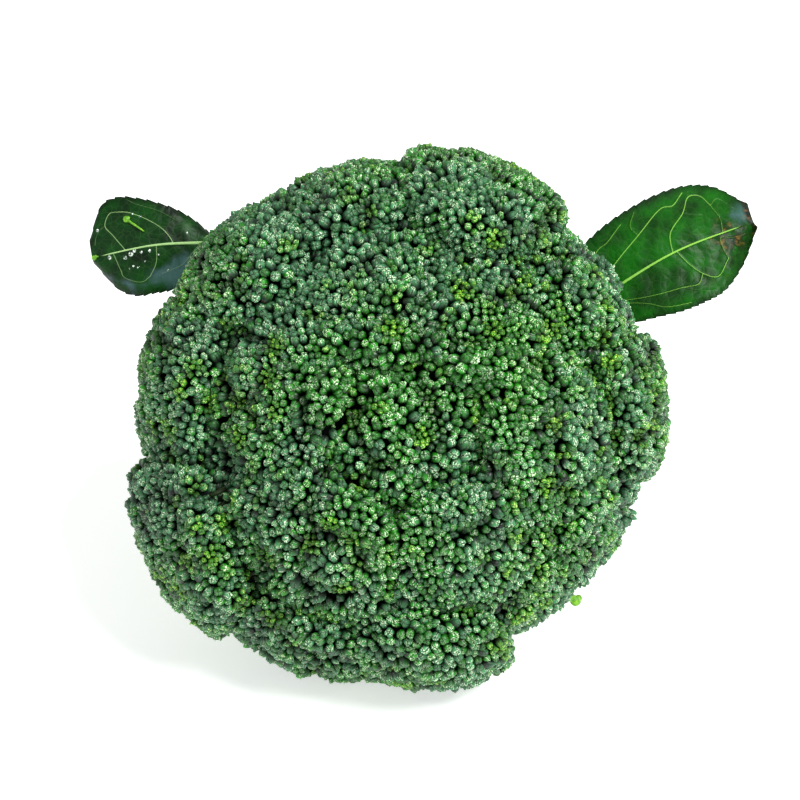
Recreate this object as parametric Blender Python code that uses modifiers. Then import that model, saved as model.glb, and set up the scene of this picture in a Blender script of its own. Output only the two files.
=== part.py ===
"""A head of broccoli as cut for the kitchen, lying on its side.

It is modelled growing upright: +Z runs from the cut end of the stalk to the top of the
crown, and the hub, where the stalk divides into branches, is at the origin. The finished
head is then laid down so that it rests on two rim florets and the edge of the cut end,
with the crown facing -Y and up.
"""

import math

import bmesh
import bpy
from mathutils import Matrix, Vector

MM = 0.001

# Driving dimensions, in millimetres.
CUT_DEPTH = 84.0            # from the hub down to the cut end of the stalk
CUT_RADIUS = 17.0           # of the stalk at the cut
CUT_SHIFT = 9.0             # sideways, from the hub to the middle of the cut
WAIST_RADIUS = 15.0         # of the stalk at its thinnest
SHOULDER_RADIUS = 18.5      # of the stalk where the lowest branches leave it
CROWN_OF_STALK = 17.0       # height of the stalk's rounded top over the hub
GAP = 0.3                   # clearance between pieces that touch

RIBS = ((5, 0.022, 0.0), (3, 0.015, 1.0))      # count, share of the radius, turn
STUBS = ((72, -38), (196, -52), (318, -44), (128, -66))     # turn and height of each
STUB_WIDE, STUB_NARROW, STUB_LENGTH, STUB_FLATNESS = 7.2, 4.4, 17.0, 0.62

HEAD_DEPTH = 21.0           # from a floret's surface to the middle of its head
FAN_DEPTH = 19.0            # from that middle to where its twigs spread from the branch
FAN_HALF_ANGLE = 54.0       # degrees, of the cone in which the twigs spread
EDGE_ROUNDING = 1.1         # softness of the edge between a floret's top and its sides
SEED_REACH = 72.0           # from the hub to the points that the florets' room is shared by
HEAD_SEGMENTS = 20
HEAD_RINGS = 12             # one for each step that ring_angles gives
EDGE_HALF_ANGLE = 3.0       # degrees, of the narrow ring that softens each edge
INNER_FEET = 12.0           # from the stalk's axis to the feet of the inner branches
BRANCH_SIDES = 2            # Blender's bevel resolution
BRANCH_STEPS = 7
BRANCH_NARROWING, BRANCH_FLARE = 0.96, 0.30     # shares of its radius, at foot and head

LEAN_BACK = 58.0            # degrees from upright back to the lying pose
ROLL = -2.23                # degrees it rolls to one side, onto its resting points

# Florets: name, tilt from the stalk's axis and turn about it in degrees, reach of the
# surface from the hub, radius of its rounded top, its width beside its neighbours' widths,
# height of the branch's foot on the stalk and radius of the branch at its foot.
FLORETS = (
    ("floret_middle", 5, 280, 62, 52, 18, 17, 4.6),
    ("floret_inner_top", 32, 95, 66, 52, 20, 12, 4.3),
    ("floret_inner_upper_right", 36, 38, 67, 50, 19, 12, 4.3),
    ("floret_inner_right", 40, 350, 69, 52, 20, 12, 4.3),
    ("floret_inner_lower_right", 38, 297, 69, 52, 20, 12, 4.3),
    ("floret_inner_lower_left", 40, 236, 71, 50, 21, 12, 4.3),
    ("floret_inner_left", 33, 172, 67, 52, 19, 12, 4.3),
    ("floret_top", 66, 71, 77.5, 48, 22, 0, 5.6),
    ("floret_top_left", 65, 102, 73.5, 42, 17, -12, 5.2),
    ("floret_upper_left", 67, 136, 74.5, 44, 20, 0, 5.4),
    ("floret_left", 68, 169, 75, 46, 21, -12, 5.6),
    ("floret_lower_left", 71, 216, 82.5, 50, 23, 0, 5.8),
    ("floret_bottom_left", 69, 241, 77.5, 48, 19, -12, 5.6),
    ("floret_bottom", 64, 281, 78, 42, 20, 0, 5.6),
    ("floret_bottom_right", 64, 305, 69.5, 42, 15, -12, 5.0),
    ("floret_lower_right", 66, 330, 70, 44, 17, 0, 5.2),
    ("floret_right", 68, 4, 75, 44, 19, -12, 5.4),
    ("floret_upper_right", 65, 34, 71.5, 46, 19, -2, 5.4),
)

# Leaves, before the head is laid down: foot on the stalk, then the midrib's start, middle
# and tip; half widths from the blade's start to its tip on its two sides; depth of its cup;
# radius of the stem at its foot.
LEAVES = (
    (
        "leaf_right",
        ((14, 8, -42), (30, 17, -30), (48, 28, -12), (76, 46, -8), (101, 56, -10)),
        (4, 13.5, 16.5, 17.3, 17.3, 16.3, 13, 5.5),
        (3, 9.5, 13.3, 16.2, 16.9, 16, 11, 2),
        3.0,
        3.2,
    ),
    (
        "leaf_left",
        ((-12, 11, -30), (-34, 33, -20), (-54, 50, -9), (-71, 49, -7), (-89, 45.5, -9)),
        (6, 10, 12.5, 13.6, 13.8, 13.6, 10.5, 2),
        (2, 6.5, 9.8, 12.2, 14.5, 16, 14.5, 5.5),
        -2.5,
        2.5,
    ),
)
BLADE_THICKNESS = 0.9
BLADE_CELLS = (12, 6)       # along and across the blade
MIDRIB_DROP = 0.75          # of the midrib's middle below the blade's

FLESH_GREEN = (0.27, 0.42, 0.13, 1.0)
BUD_GREEN = (0.045, 0.13, 0.05, 1.0)
LEAF_GREEN = (0.012, 0.10, 0.010, 1.0)


def clear_scene():
    for obj in list(bpy.data.objects):
        bpy.data.objects.remove(obj)


def collection(name):
    made = bpy.data.collections.new(name)
    bpy.context.scene.collection.children.link(made)
    return made


def material(name, colour, roughness):
    made = bpy.data.materials.new(name)
    made.use_nodes = True
    shader = made.node_tree.nodes["Principled BSDF"]
    shader.inputs["Base Color"].default_value = colour
    shader.inputs["Roughness"].default_value = roughness
    shader.inputs["Metallic"].default_value = 0.0
    made.diffuse_color = colour
    return made


def add_object(name, data, group):
    made = bpy.data.objects.new(name, data)
    group.objects.link(made)
    return made


def baked_mesh(obj, name):
    """The object's mesh with its modifiers applied and loose caps welded. The object goes."""
    bpy.context.view_layer.update()
    graph = bpy.context.evaluated_depsgraph_get()
    mesh = bpy.data.meshes.new_from_object(obj.evaluated_get(graph), depsgraph=graph)
    mesh.transform(obj.matrix_world)
    bpy.data.objects.remove(obj)
    mesh.name = name
    form = bmesh.new()
    form.from_mesh(mesh)
    bmesh.ops.remove_doubles(form, verts=form.verts, dist=0.00001)
    bmesh.ops.recalc_face_normals(form, faces=form.faces)
    form.to_mesh(mesh)
    form.free()
    return mesh


def boolean(obj, cutter, operation):
    """Joins cutter to obj, or cuts it away, for good. The cutter goes."""
    cutter.hide_render = True
    cutter.display_type = "WIRE"
    step = obj.modifiers.new(cutter.name, "BOOLEAN")
    step.object = cutter
    step.operation = operation
    step.solver = "EXACT"
    bpy.context.view_layer.update()
    graph = bpy.context.evaluated_depsgraph_get()
    mesh = bpy.data.meshes.new_from_object(obj.evaluated_get(graph), depsgraph=graph)
    obj.modifiers.clear()
    obj.data = mesh
    bpy.data.objects.remove(cutter)


def tube(name, points, radii, group):
    """A round, tapering tube along the points, as a mesh object."""
    curve = bpy.data.curves.new(name, "CURVE")
    curve.dimensions = "3D"
    curve.bevel_depth = 1.0
    curve.bevel_resolution = BRANCH_SIDES
    curve.use_fill_caps = True
    spline = curve.splines.new("POLY")
    spline.points.add(len(points) - 1)
    for point, place, radius in zip(spline.points, points, radii):
        point.co = (*place, 1.0)
        point.radius = radius
    drawn = add_object(name, curve, group)
    return add_object(name, baked_mesh(drawn, name), group)


def direction(tilt, turn):
    """The unit vector at this tilt from the stalk's axis and this turn about it."""
    tilt, turn = math.radians(tilt), math.radians(turn)
    return Vector(
        (math.sin(tilt) * math.cos(turn), math.sin(tilt) * math.sin(turn), math.cos(tilt))
    )


# --- the stalk ---------------------------------------------------------------------------


def stalk_radius(height):
    """The stalk's radius, in millimetres, this high over the hub."""
    if height > 0:
        share = min(height / CROWN_OF_STALK, 1.0)
        return SHOULDER_RADIUS * math.sqrt(1.0 - share * share)
    share = -height / CUT_DEPTH
    if share < 0.5:
        blend = math.cos(math.pi * share)
        return WAIST_RADIUS + (SHOULDER_RADIUS - WAIST_RADIUS) * blend
    blend = math.sin(math.pi * (share - 0.5))
    return WAIST_RADIUS + (CUT_RADIUS - WAIST_RADIUS) * blend


def stalk_bend(height):
    """How far to +X the stalk's middle lies, in millimetres, this high over the hub."""
    return CUT_SHIFT * (min(height, 0.0) / CUT_DEPTH) ** 2


def turned_stalk(name, extra, group):
    """The stalk as a turned body, grown by extra millimetres all round, with its soft ribs."""
    heights = [CROWN_OF_STALK * math.sin(math.radians(a)) for a in (90, 72, 54, 36, 18)]
    heights += [-CUT_DEPTH * step / 10 for step in range(11)]
    mesh = bpy.data.meshes.new(name)
    form = bmesh.new()
    ring = []
    for height in heights:
        rise = extra if height > 0 else 0.0
        radius = stalk_radius(height) + extra if height < CROWN_OF_STALK - 0.01 else 0.0
        ring.append(form.verts.new((radius * MM, 0, (height + rise) * MM)))
    ring.append(form.verts.new((0, 0, -CUT_DEPTH * MM)))
    for first, second in zip(ring, ring[1:]):
        form.edges.new((first, second))
    form.to_mesh(mesh)
    form.free()
    profile = add_object(name, mesh, group)
    turn = profile.modifiers.new("turn", "SCREW")
    turn.steps = turn.render_steps = 30
    turn.use_merge_vertices = True
    turn.merge_threshold = 0.00001
    turned = baked_mesh(profile, name)
    for vertex in turned.vertices:
        around = math.atan2(vertex.co.y, vertex.co.x)
        along = vertex.co.z / MM
        rib = 1.0
        for count, depth, shift in RIBS:
            rib += depth * math.cos(count * around + along / 40 - shift)
        vertex.co.x = vertex.co.x * rib + stalk_bend(along) * MM
        vertex.co.y *= rib
    return add_object(name, turned, group)


def leaf_stub(turn, height, group):
    """The trimmed foot of a big leaf: an oval stump on the stalk's side, cut square."""
    out = direction(90, turn)
    foot = out * (stalk_radius(height) - 5) + Vector((0, 0, height - 4))
    aim = (out * 0.55 + Vector((0, 0, 0.83))).normalized()
    form = bmesh.new()
    bmesh.ops.create_cone(
        form, cap_ends=True, segments=16, radius1=STUB_WIDE * MM, radius2=STUB_NARROW * MM,
        depth=STUB_LENGTH * MM,
    )
    flat = Matrix.Diagonal((STUB_FLATNESS, 1.0, 1.0, 1.0))
    bmesh.ops.transform(form, matrix=flat, verts=form.verts)
    mesh = bpy.data.meshes.new("stub")
    form.to_mesh(mesh)
    form.free()
    side = Vector((0, 0, 1)).cross(out).normalized()
    front = side.cross(aim)
    stand = Matrix((front, side, aim)).transposed().to_4x4()
    stand.translation = (foot + aim * 6) * MM
    mesh.transform(stand)
    return add_object("stub", mesh, group)


def build_stalk(group, cutters, flesh):
    stalk = turned_stalk("stalk", 0.0, group)
    for turn, height in STUBS:
        boolean(stalk, leaf_stub(turn, height, cutters), "UNION")
    stalk.data.materials.clear()
    stalk.data.materials.append(flesh)
    return stalk


# --- the florets -------------------------------------------------------------------------


class Floret:
    """The places and sizes that one floret is drawn from, in millimetres from the hub."""

    def __init__(self, name, tilt, turn, reach, top_radius, width, foot_height, branch_radius):
        self.name = name
        self.width = width
        self.branch_radius = branch_radius
        self.top_radius = top_radius
        out = direction(tilt, turn)
        self.seed = out * SEED_REACH
        self.top_centre = out * (reach - top_radius)
        self.middle = out * (reach - HEAD_DEPTH)
        inner = tilt < 50
        from_axis = INNER_FEET * min(tilt / 30, 1.0) if inner else stalk_radius(foot_height)
        self.foot = direction(90, turn) * from_axis
        self.foot.z = foot_height
        self.rise = (self.middle - self.foot).normalized()


def distance_to_top(floret, ray):
    """From the head's middle along the ray to the rounded top."""
    offset = floret.middle - floret.top_centre
    along = offset.dot(ray)
    return -along + math.sqrt(along**2 - offset.length_squared + floret.top_radius**2)


def distance_to_fan(floret, ray):
    """From the head's middle along the ray to the cone that the twigs spread in."""
    slope = math.cos(math.radians(FAN_HALF_ANGLE)) ** 2
    axis, start = floret.rise, floret.rise * FAN_DEPTH
    ray_axis, start_axis = ray.dot(axis), start.dot(axis)
    a = ray_axis**2 - slope
    b = 2 * (ray_axis * start_axis - ray.dot(start) * slope)
    c = start_axis**2 - start.length_squared * slope
    roots = []
    if abs(a) > 1e-9 and b * b - 4 * a * c >= 0:
        root = math.sqrt(b * b - 4 * a * c)
        roots = [(-b - root) / (2 * a), (-b + root) / (2 * a)]
    ahead = [r for r in roots if r > 0 and start_axis + r * ray_axis > 0]
    return min(ahead, default=math.inf)


def distance_to_neighbour(floret, other, ray):
    """From the head's middle along the ray to the plane between it and its neighbour."""
    between = other.seed - floret.seed
    share = floret.width / (floret.width + other.width)
    normal = between.normalized()
    room = (floret.seed + between * share - floret.middle).dot(normal) - GAP * 0.6
    closing = ray.dot(normal)
    return room / closing if closing > 1e-6 else math.inf


def head_limits(floret, others, ray):
    """Distances along the ray to the rounded top, the nearest neighbour and the underside."""
    beside = min(distance_to_neighbour(floret, other, ray) for other in others)
    return distance_to_top(floret, ray), beside, distance_to_fan(floret, ray)


def head_distance(floret, others, ray):
    """From the head's middle along the ray to its surface, with softened edges."""
    limits = [distance_to_top(floret, ray), distance_to_fan(floret, ray)]
    limits += [distance_to_neighbour(floret, other, ray) for other in others]
    nearest = min(limits)
    total = sum(math.exp((nearest - limit) / EDGE_ROUNDING) for limit in limits)
    return nearest - EDGE_ROUNDING * math.log(total)


def head_ray(floret, around, down):
    """The unit vector at this turn about the head's axis and this angle down from its top."""
    upright = direction(math.degrees(down), math.degrees(around))
    return Vector((0, 0, 1)).rotation_difference(floret.rise) @ upright


def edge_angle(floret, others, around, passed):
    """How far down from the top of the head the test given as passed first holds."""
    low, high = 0.0, math.pi
    for _ in range(24):
        middle = (low + high) / 2
        if passed(*head_limits(floret, others, head_ray(floret, around, middle))):
            high = middle
        else:
            low = middle
    return high


def ring_angles(floret, others, around):
    """Angles down from the top for the rings of points, with rings along both edges."""
    edge = math.radians(EDGE_HALF_ANGLE)
    brow = edge_angle(floret, others, around, lambda top, side, fan: min(side, fan) < top)
    hem = edge_angle(floret, others, around, lambda top, side, fan: fan < min(top, side))
    hem = max(hem, brow + 4 * edge)
    below = math.pi - hem
    return [
        0.0,
        brow * 0.28,
        brow * 0.54,
        brow * 0.78,
        brow - edge,
        brow + edge,
        (brow + hem) / 2,
        hem - edge,
        hem + edge,
        hem + below * 0.4,
        hem + below * 0.6,
        hem + below * 0.8,
        math.pi,
    ]


def head_object(floret, others, group):
    form = bmesh.new()
    bmesh.ops.create_uvsphere(
        form, u_segments=HEAD_SEGMENTS, v_segments=HEAD_RINGS, radius=1.0
    )
    for vertex in form.verts:
        around = math.atan2(vertex.co.y, vertex.co.x)
        ring = round(vertex.co.normalized().angle(Vector((0, 0, 1))) / math.pi * HEAD_RINGS)
        down = ring_angles(floret, others, around)[ring]
        ray = head_ray(floret, around, down)
        vertex.co = (floret.middle + ray * head_distance(floret, others, ray)) * MM
    mesh = bpy.data.meshes.new(floret.name)
    form.to_mesh(mesh)
    form.free()
    return add_object(floret.name, mesh, group)


def branch_object(floret, group):
    """The branch from inside the stalk to inside the head, leaving the stalk steeply."""
    start = Vector((floret.foot.x * 0.6, floret.foot.y * 0.6, floret.foot.z - 8))
    bend = floret.foot + (floret.foot - start) * 0.6
    end = floret.middle - floret.rise * (FAN_DEPTH * 0.45)
    points, radii = [], []
    for step in range(BRANCH_STEPS + 1):
        t = step / BRANCH_STEPS
        place = start * (1 - t) ** 2 + bend * (2 * t * (1 - t)) + end * t**2
        points.append(place * MM)
        radii.append(floret.branch_radius * (BRANCH_NARROWING + BRANCH_FLARE * t**3) * MM)
    return tube(floret.name + "_branch", points, radii, group)


def build_florets(group, cutters, buds):
    florets = [Floret(*row) for row in FLORETS]
    made = []
    for floret in florets:
        others = [other for other in florets if other is not floret]
        head = head_object(floret, others, group)
        boolean(head, branch_object(floret, cutters), "UNION")
        boolean(head, turned_stalk("stalk_clearance", GAP, cutters), "DIFFERENCE")
        head.data.materials.clear()
        head.data.materials.append(buds)
        made.append(head)
    return made


# --- the leaves --------------------------------------------------------------------------


def along_curve(points, t):
    """The place at t, from 0 to 1, on the smooth curve through evenly timed points."""
    last = len(points) - 1
    index = min(int(t * last), last - 1)
    u = t * last - index
    here, there = points[index], points[index + 1]
    before = points[index - 1] if index else here * 2 - there
    after = points[index + 2] if index + 2 <= last else there * 2 - here
    return 0.5 * (
        here * 2
        + (there - before) * u
        + (before * 2 - here * 5 + there * 4 - after) * u**2
        + (here * 3 - before - there * 3 + after) * u**3
    )


def blade_object(name, midrib, upper, lower, cup, group):
    """The blade: a grid bent along the midrib, cupped and waved, then given its thickness."""
    form = bmesh.new()
    bmesh.ops.create_grid(form, x_segments=BLADE_CELLS[0], y_segments=BLADE_CELLS[1], size=1.0)
    for vertex in form.verts:
        t, across = (vertex.co.x + 1) / 2, vertex.co.y
        spine = along_curve(midrib, t)
        run = (along_curve(midrib, min(t + 0.02, 1)) - along_curve(midrib, max(t - 0.02, 0)))
        side = Vector((0, 0, 1)).cross(run).normalized()
        halves = [Vector((width, 0, 0)) for width in (upper if across > 0 else lower)]
        width = along_curve(halves, t).x
        wave = 0.9 * math.sin(9 * t + 2 * across) * across**2
        lift = cup * across**2 + wave
        vertex.co = (spine + side * (across * width) + Vector((0, 0, lift))) * MM
    mesh = bpy.data.meshes.new(name)
    form.to_mesh(mesh)
    form.free()
    sheet = add_object(name, mesh, group)
    skin = sheet.modifiers.new("thickness", "SOLIDIFY")
    skin.thickness = BLADE_THICKNESS * MM
    skin.offset = 0.0
    skin.use_even_offset = True
    return add_object(name, baked_mesh(sheet, name), group)


def leaf_stem(name, places, foot_radius, group):
    """The leaf's stem from inside the stalk, going on under the blade as its midrib."""
    start, first = places[0], places[1]
    bent = [start - (first - start) * 0.35, *places[:-1]]
    points, radii = [], []
    steps = 12
    for step in range(steps + 1):
        t = step / steps
        drop = MIDRIB_DROP * max(0.0, min(1.0, (t - 0.35) * 4))
        place = along_curve(bent, t) - Vector((0, 0, drop))
        points.append(place * MM)
        radii.append(foot_radius * (1 - 0.66 * t) * MM)
    return tube(name + "_stem", points, radii, group)


def build_leaves(group, cutters, green):
    made = []
    for name, points, upper, lower, cup, foot_radius in LEAVES:
        places = [Vector(point) for point in points]
        blade = blade_object(name, places[2:], upper, lower, cup, group)
        boolean(blade, leaf_stem(name, places, foot_radius, cutters), "UNION")
        boolean(blade, turned_stalk("stalk_clearance", GAP, cutters), "DIFFERENCE")
        blade.data.materials.clear()
        blade.data.materials.append(green)
        made.append(blade)
    return made


# --- laying it down ----------------------------------------------------------------------


def lay_down(parts, group):
    """Turns the upright head onto its side and puts its box's bottom middle at the origin."""
    pose = add_object("lying_pose", None, group)
    lean = Matrix.Rotation(math.radians(LEAN_BACK), 3, "X")
    roll = Matrix.Rotation(math.radians(ROLL), 3, "Y")
    turn = roll @ lean
    places = [turn @ vertex.co for part in parts for vertex in part.data.vertices]
    low = [min(place[axis] for place in places) for axis in range(3)]
    high = [max(place[axis] for place in places) for axis in range(3)]
    pose.rotation_euler = turn.to_euler()
    pose.location = (-(low[0] + high[0]) / 2, -(low[1] + high[1]) / 2, -low[2])
    for part in parts:
        part.parent = pose


def finish(obj):
    """Smooth shading, kept sharp where a face turns by more than 40 degrees."""
    obj.data.shade_smooth()
    obj.data.set_sharp_from_angle(angle=math.radians(40))


def main():
    clear_scene()
    group = collection("broccoli_head")
    cutters = collection("broccoli_head_cutters")
    flesh = material("stalk flesh", FLESH_GREEN, 0.55)
    buds = material("flower buds", BUD_GREEN, 0.6)
    green = material("leaf", LEAF_GREEN, 0.35)
    parts = [build_stalk(group, cutters, flesh)]
    parts += build_florets(group, cutters, buds)
    parts += build_leaves(group, cutters, green)
    for part in parts:
        finish(part)
    lay_down(parts, group)


main()
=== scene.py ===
"""The look of a head of broccoli lying on its side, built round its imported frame.

Everything is worked out upright and in millimetres first: +Z runs up the stalk to the top of
the crown and the hub, where the stalk divides, is at the origin. laid() then turns a point to
where the head lies in the frame, in metres.
"""

import math

import bmesh
import bpy
import numpy as np
from bpy.props import FloatProperty, FloatVectorProperty, IntProperty, PointerProperty
from mathutils import Matrix, Vector, noise
from mathutils.bvhtree import BVHTree


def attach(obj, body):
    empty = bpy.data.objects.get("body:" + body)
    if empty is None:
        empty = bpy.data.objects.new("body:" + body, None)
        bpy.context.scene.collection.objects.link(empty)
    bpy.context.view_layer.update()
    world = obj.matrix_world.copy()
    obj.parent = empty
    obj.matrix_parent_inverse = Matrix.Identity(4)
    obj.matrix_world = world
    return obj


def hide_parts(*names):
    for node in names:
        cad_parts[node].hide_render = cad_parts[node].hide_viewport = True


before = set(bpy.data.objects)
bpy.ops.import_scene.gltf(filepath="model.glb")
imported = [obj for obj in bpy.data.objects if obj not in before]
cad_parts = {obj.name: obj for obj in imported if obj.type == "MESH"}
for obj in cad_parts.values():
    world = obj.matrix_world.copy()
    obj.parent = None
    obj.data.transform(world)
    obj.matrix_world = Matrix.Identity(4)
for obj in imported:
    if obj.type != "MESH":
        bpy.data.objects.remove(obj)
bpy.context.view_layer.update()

bl_info = {
    "name": "Broccoli Head",
    "version": (1, 0, 0),
    "blender": (4, 5, 0),
    "location": "3D View > Sidebar > Broccoli",
    "description": "Grows the buds, stems and leaves of a broccoli head on its frame",
    "category": "Object",
}

# The way the head lies, as in the part's own source.
LEAN_BACK = 58.0
ROLL = -2.23
CROWN_OF_STALK = 17.0
CUT_DEPTH = 84.0
CUT_SHIFT = 9.0

# Leaves, upright and in millimetres, as in the part's own source.
LEAVES = {
    "leaf_right": dict(
        places=((14, 8, -42), (30, 17, -30), (48, 28, -12), (76, 46, -8), (101, 56, -10)),
        upper=(4, 13.5, 16.5, 17.3, 17.3, 16.3, 13, 5.5),
        lower=(3, 9.5, 13.3, 16.2, 16.9, 16, 11, 2),
        cup=3.0,
        foot_radius=3.2,
    ),
    "leaf_left": dict(
        places=((-12, 11, -30), (-34, 33, -20), (-54, 50, -9), (-71, 49, -7), (-89, 45.5, -9)),
        upper=(6, 10, 12.5, 13.6, 13.8, 13.6, 10.5, 2),
        lower=(2, 6.5, 9.8, 12.2, 14.5, 16, 14.5, 5.5),
        cup=-2.5,
        foot_radius=2.5,
    ),
}


# --- small tools -------------------------------------------------------------------------


def linear(code):
    """An sRGB hex colour such as 4F7A3C as the linear values that a shader takes."""
    channels = [int(code[i : i + 2], 16) / 255 for i in (0, 2, 4)]
    return (*[c / 12.92 if c <= 0.04045 else ((c + 0.055) / 1.055) ** 2.4 for c in channels], 1.0)


def head_turn():
    """The turn from the upright head to the lying one."""
    roll = Matrix.Rotation(math.radians(ROLL), 3, "Y")
    return roll @ Matrix.Rotation(math.radians(LEAN_BACK), 3, "X")


def node_points(name):
    """The corners of one of the frame's solids, in metres as it lies."""
    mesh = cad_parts[name].data
    points = np.empty(len(mesh.vertices) * 3)
    mesh.vertices.foreach_get("co", points)
    return points.reshape(-1, 3)


UP = np.array((0.0, 0.0, 1.0))      # up the stalk, on the upright head
TURN = np.array(head_turn())
AXIS = TURN @ UP
STALK_TOP = max(node_points("stalk"), key=lambda point: float(point @ AXIS))
HUB = STALK_TOP - AXIS * CROWN_OF_STALK * 0.001


def laid(points):
    """Upright points in millimetres as places on the lying head, in metres."""
    return HUB + (np.asarray(points, dtype=float) * 0.001) @ TURN.T


def upright(points):
    """Places on the lying head, in metres, as upright points in millimetres."""
    return ((np.asarray(points, dtype=float) - HUB) @ TURN) * 1000.0


def unit(rows):
    """The rows as directions of length 1."""
    rows = np.asarray(rows, dtype=float)
    return rows / np.maximum(np.linalg.norm(rows, axis=-1, keepdims=True), 1e-12)


def settings():
    """What the user has set in the panel."""
    return bpy.context.scene.broccoli


def remove_named(name):
    """Clears away an earlier run's object, so that an operator can be run again."""
    old = bpy.data.objects.get(name)
    if old:
        bpy.data.objects.remove(old)


def finished_object(name, mesh, material):
    """The smooth-shaded mesh as an object in the scene, with one material."""
    remove_named(name)
    mesh.polygons.foreach_set("use_smooth", np.ones(len(mesh.polygons), dtype=bool))
    mesh.materials.append(material)
    obj = bpy.data.objects.new(name, mesh)
    bpy.context.scene.collection.objects.link(obj)
    return obj


def mesh_object(name, points, faces, material):
    """An object from upright points and faces, laid down, with one material."""
    mesh = bpy.data.meshes.new(name)
    mesh.from_pydata(laid(points).tolist(), [], faces)
    return finished_object(name, mesh, material)


def large_mesh_object(name, points, corners, starts, material):
    """As mesh_object, for very many faces.

    corners lists the corners of all the faces in a row, and starts says where each face's
    corners begin.
    """
    mesh = bpy.data.meshes.new(name)
    mesh.vertices.add(len(points))
    mesh.vertices.foreach_set("co", laid(points).ravel())
    mesh.loops.add(len(corners))
    mesh.loops.foreach_set("vertex_index", corners)
    mesh.polygons.add(len(starts))
    mesh.polygons.foreach_set("loop_start", starts)
    mesh.update(calc_edges=True)
    return finished_object(name, mesh, material)


def point_values(obj, name, values):
    """Keeps one number for each of the object's points, for its material to read."""
    kept = obj.data.attributes.new(name, "FLOAT", "POINT")
    kept.data.foreach_set("value", np.asarray(values, dtype=np.float32))


def keep(obj, slot, *nodes):
    """The piece rides on the head and stands for the nodes, whose solids it hides.

    slot is not used.
    """
    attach(obj, "root")
    if nodes:
        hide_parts(*nodes)


# --- material tools ----------------------------------------------------------------------


def new_material(name):
    """An empty material, in place of an earlier run's."""
    old = bpy.data.materials.get(name)
    if old:
        bpy.data.materials.remove(old)
    material = bpy.data.materials.new(name)
    material.use_nodes = True
    material.node_tree.nodes.clear()
    return material


def node(material, kind, links=None, **values):
    """Adds a node. values set its properties or inputs, and links feed its inputs."""
    made = material.node_tree.nodes.new(kind)
    for key, value in values.items():
        if hasattr(made, key):
            setattr(made, key, value)
        else:
            made.inputs[key.replace("_", " ")].default_value = value
    for key, source in (links or {}).items():
        material.node_tree.links.new(source, made.inputs[key])
    return made


def as_colour(value):
    """A number as a grey; colours and sockets as they are."""
    return (value, value, value, 1.0) if isinstance(value, (int, float)) else value


def feed(material, socket, value):
    """Links value to the socket if it is a socket itself, or else sets it there."""
    if isinstance(value, bpy.types.NodeSocket):
        material.node_tree.links.new(value, socket)
    else:
        socket.default_value = value


def ramp(material, source, *stops, smooth=False):
    """A colour ramp over source. stops are (place, colour or grey) pairs."""
    made = node(material, "ShaderNodeValToRGB", {"Fac": source})
    made.color_ramp.interpolation = "EASE" if smooth else "LINEAR"
    elements = made.color_ramp.elements
    while len(elements) < len(stops):
        elements.new(0.5)
    for element, (place, colour) in zip(elements, stops):
        element.position = place
        element.color = as_colour(colour)
    return made.outputs["Color"]


def mixed(material, share, first, second, blend_type="MIX"):
    """first and second mixed by share; each is a colour, a grey or a socket."""
    made = node(material, "ShaderNodeMix", data_type="RGBA", blend_type=blend_type)
    feed(material, made.inputs[0], share)
    feed(material, made.inputs[6], as_colour(first))
    feed(material, made.inputs[7], as_colour(second))
    return made.outputs[2]


def times(material, first, second):
    """first and second multiplied, channel by channel."""
    return mixed(material, 1.0, first, second, "MULTIPLY")


def math_node(material, operation, *values):
    """The result of one sum; each value is a number or a socket."""
    made = node(material, "ShaderNodeMath", operation=operation)
    for socket, value in zip(made.inputs, values):
        feed(material, socket, value)
    return made.outputs[0]


def shader(material, colour, **values):
    """Ends the material with its surface shader. Sockets in values are linked, numbers set."""
    surface = node(material, "ShaderNodeBsdfPrincipled")
    for key, value in (("Base_Color", colour), *values.items()):
        feed(material, surface.inputs[key.replace("_", " ")], value)
    node(material, "ShaderNodeOutputMaterial", {"Surface": surface.outputs[0]})
    return material


def object_place(material):
    """Where each point is on its object, in metres."""
    return node(material, "ShaderNodeTexCoord").outputs["Object"]


def noise_at(material, place, scale, detail):
    """Noise from 0 to 1 with about 1 / scale metres between its patches."""
    made = node(material, "ShaderNodeTexNoise", {"Vector": place}, Scale=scale, Detail=detail)
    return made.outputs["Fac"]


def held(material, name):
    """The numbers kept for a piece's points under this name."""
    return node(material, "ShaderNodeAttribute", attribute_name=name).outputs["Fac"]


def bumped(material, height, distance, strength):
    """The surface's direction over a relief that is distance metres deep."""
    made = node(material, "ShaderNodeBump", {"Height": height})
    made.inputs["Distance"].default_value = distance
    made.inputs["Strength"].default_value = strength
    return made.outputs["Normal"]


# --- what a user would change ------------------------------------------------------------


def colour_property(name, description, code):
    """A colour that the user can change, from its sRGB hex code."""
    return FloatVectorProperty(
        name=name, description=description, subtype="COLOR", size=4, min=0, max=1,
        default=linear(code),
    )


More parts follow.
